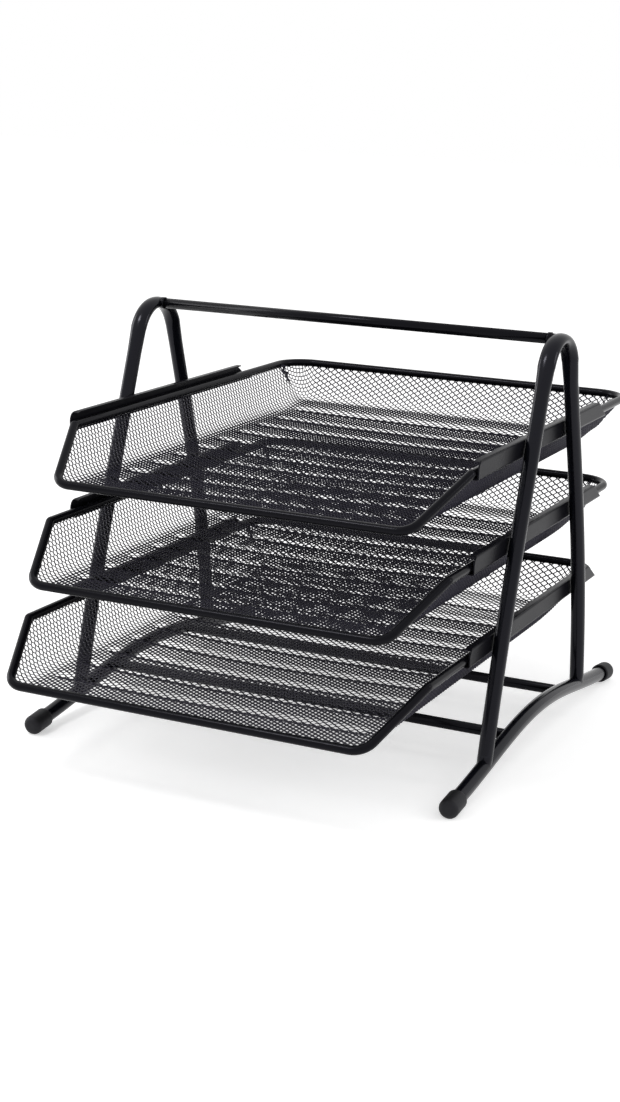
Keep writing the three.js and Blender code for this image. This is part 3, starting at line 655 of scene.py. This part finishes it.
def coated(name, colour, gloss, roughness, grain, bump):
    """A painted metal with fine orange peel and faint changes of sheen."""
    made = bpy.data.materials.new(name)
    made.use_nodes = True
    nodes = made.node_tree.nodes
    links = made.node_tree.links
    shader = nodes["Principled BSDF"]
    shader.inputs["Specular IOR Level"].default_value = gloss
    shader.inputs["Specular Tint"].default_value = SHEEN_TINT
    where = nodes.new("ShaderNodeTexCoord")
    peel = nodes.new("ShaderNodeTexNoise")
    peel.inputs["Scale"].default_value = grain
    peel.inputs["Detail"].default_value = PEEL_DETAIL
    patch = nodes.new("ShaderNodeTexNoise")
    patch.inputs["Scale"].default_value = PATCH_SCALE
    patch.inputs["Detail"].default_value = PATCH_DETAIL
    raised = nodes.new("ShaderNodeBump")
    raised.inputs["Strength"].default_value = bump
    raised.inputs["Distance"].default_value = PEEL_DEPTH
    shine = nodes.new("ShaderNodeMapRange")
    shine.inputs["To Min"].default_value = roughness - SMOOTHER
    shine.inputs["To Max"].default_value = roughness + ROUGHER
    tint = nodes.new("ShaderNodeMix")
    tint.data_type = "RGBA"
    tint.inputs["A"].default_value = (*[c * DARKER for c in colour], 1)
    tint.inputs["B"].default_value = (*[c * LIGHTER for c in colour], 1)
    links.new(where.outputs["Object"], peel.inputs["Vector"])
    links.new(where.outputs["Object"], patch.inputs["Vector"])
    links.new(peel.outputs["Fac"], raised.inputs["Height"])
    links.new(raised.outputs["Normal"], shader.inputs["Normal"])
    links.new(patch.outputs["Fac"], shine.inputs["Value"])
    links.new(shine.outputs["Result"], shader.inputs["Roughness"])
    links.new(patch.outputs["Fac"], tint.inputs["Factor"])
    links.new(tint.outputs["Result"], shader.inputs["Base Color"])
    return made


tube_paint = coated("tube_paint", (0.003, 0.0033, 0.005), gloss=0.2, roughness=0.17, grain=900, bump=0.14)
rail_paint = coated("rail_paint", (0.006, 0.006, 0.008), gloss=0.06, roughness=0.28, grain=900, bump=0.14)
rod_paint = coated("rod_paint", (0.003, 0.003, 0.0042), gloss=0.1, roughness=0.2, grain=900, bump=0.12)
mesh_paint = coated("mesh_paint", (0.026, 0.0245, 0.036), gloss=0.1, roughness=0.35, grain=1500, bump=0.08)
cap_rubber = coated("cap_rubber", (0.006, 0.006, 0.006), gloss=0.3, roughness=0.55, grain=1400, bump=0.2)


def dressed(piece, material):
    piece.data.materials.append(material)
    return piece


# The stand

for side, hand in ((-1, "left"), (1, "right")):
    x = side * HOOP_X
    made = dressed(hoop(f"{hand}_hoop_tube", x), tube_paint)
    seat(made, "stand", "frame_tube", f"{hand}_hoop")
    made = dressed(foot_bar(f"{hand}_foot_tube", x), tube_paint)
    seat(made, "stand", "frame_tube", f"{hand}_foot_bar")
    for end, place_name in ((-1, "front"), (1, "rear")):
        made = dressed(foot_cap(f"{hand}_{place_name}_rubber_cap", x, end), cap_rubber)
        seat(made, "stand", "cap_rubber", f"{hand}_{place_name}_foot_cap")
    made = dressed(collar(f"{hand}_handle_ring", side), rod_paint)
    seat(made, "stand", "rod", f"{hand}_handle_collar")

rods = {
    "handle_bar": (0, APEX_Z),
    "front_lower_bar": (FRONT_BAR_Y, foot_bar_height(FRONT_BAR_Y)),
    "rear_lower_bar": (REAR_BAR_Y, foot_bar_height(REAR_BAR_Y)),
}
for name, (y, z) in rods.items():
    seat(dressed(cross_rod(f"{name}_rod", y, z), rod_paint), "stand", "rod", name)

for tier, name in enumerate(PULLED_OUT):
    height = TOP_RIM_HEIGHT - tier * TIER_PITCH
    body = f"{name}_tray"
    for side, hand in ((-1, "left"), (1, "right")):
        made = dressed(rail(f"{name}_{hand}_runner", side, height), rail_paint)
        seat(made, "stand", "rail_sheet", f"{name}_{hand}_rail")
    made = dressed(tray_rim(f"{name}_tray_wire", (name, height)), rod_paint)
    seat(made, body, "rod", f"{name}_tray_rim")
    made = dressed(tray_mesh(f"{name}_tray_mesh", (name, height)), mesh_paint)
    seat(made, body, "tray_mesh", f"{name}_tray_pan")

# Camera

camera_data = bpy.data.cameras.new("camera")
camera_data.sensor_fit = "AUTO"
camera_data.sensor_width = CAMERA_SENSOR
camera_data.lens = CAMERA_LENS
camera = bpy.data.objects.new("camera", camera_data)
bpy.context.scene.collection.objects.link(camera)
camera.location = CAMERA_PLACE
look = (CAMERA_TARGET - CAMERA_PLACE).to_track_quat("-Z", "Y").to_matrix()
camera.rotation_euler = (look @ Matrix.Rotation(CAMERA_ROLL, 3, "Z")).to_euler()
camera_data.clip_end = CAMERA_REACH
bpy.context.scene.camera = camera

# Floor, background and lights

FLOOR_GLOW = 0.5
FLOOR_GREY = 0.8
FLOOR_ROUGHNESS = 0.9
FLOOR_HALF_SIZE = 6
SKY_LIGHT = 0.82


def seen_directly(nodes, links):
    """1 for rays from the camera, a mirror or glass, and 0 for the light that falls on things."""
    path = nodes.new("ShaderNodeLightPath")
    total = path.outputs["Is Camera Ray"]
    for other in ("Is Glossy Ray", "Is Transmission Ray"):
        most = nodes.new("ShaderNodeMath")
        most.operation = "MAXIMUM"
        links.new(total, most.inputs[0])
        links.new(path.outputs[other], most.inputs[1])
        total = most.outputs[0]
    return total


def floor_white():
    """A pale floor that shows white where no shadow falls on it."""
    made = bpy.data.materials.new("floor_white")
    made.use_nodes = True
    nodes = made.node_tree.nodes
    links = made.node_tree.links
    shader = nodes["Principled BSDF"]
    shader.inputs["Base Color"].default_value = (FLOOR_GREY, FLOOR_GREY, FLOOR_GREY, 1)
    shader.inputs["Roughness"].default_value = FLOOR_ROUGHNESS
    shader.inputs["Specular IOR Level"].default_value = 0
    shader.inputs["Emission Color"].default_value = (1, 1, 1, 1)
    glow = nodes.new("ShaderNodeMath")
    glow.operation = "MULTIPLY"
    glow.inputs[1].default_value = FLOOR_GLOW
    links.new(seen_directly(nodes, links), glow.inputs[0])
    links.new(glow.outputs[0], shader.inputs["Emission Strength"])
    return made


half = FLOOR_HALF_SIZE
corners = [(-half, -half, 0), (half, -half, 0), (half, half, 0), (-half, half, 0)]
floor = new_object("floor", corners, [(0, 1, 2, 3)], False)
floor.data.materials.append(floor_white())

world = bpy.data.worlds.new("studio")
world.use_nodes = True
bpy.context.scene.world = world
sky = world.node_tree.nodes
level = sky.new("ShaderNodeMapRange")
level.inputs["To Min"].default_value = SKY_LIGHT
level.inputs["To Max"].default_value = 1
world.node_tree.links.new(seen_directly(sky, world.node_tree.links), level.inputs["Value"])
world.node_tree.links.new(level.outputs["Result"], sky["Background"].inputs["Strength"])
sky["Background"].inputs["Color"].default_value = (1, 1, 1, 1)


def lamp(name, at, aim, width, height, power):
    data = bpy.data.lights.new(name, "AREA")
    data.shape = "RECTANGLE"
    data.size = width
    data.size_y = height
    data.energy = power
    made = bpy.data.objects.new(name, data)
    bpy.context.scene.collection.objects.link(made)
    made.location = at
    made.rotation_euler = (Vector(aim) - Vector(at)).to_track_quat("-Z", "Y").to_euler()
    return made


lamp("key", at=(-0.7, -0.9, 1.7), aim=(0, 0, 0.1), width=0.4, height=0.4, power=8)
lamp("edge", at=(-1.4, -0.05, 0.45), aim=(0, 0, 0.12), width=0.4, height=1.1, power=5)
lamp("fill", at=(1.5, 0.3, 0.9), aim=(0, 0, 0.1), width=0.3, height=0.6, power=3)

bpy.context.scene.view_settings.view_transform = "Standard"

bpy.context.view_layer.update()
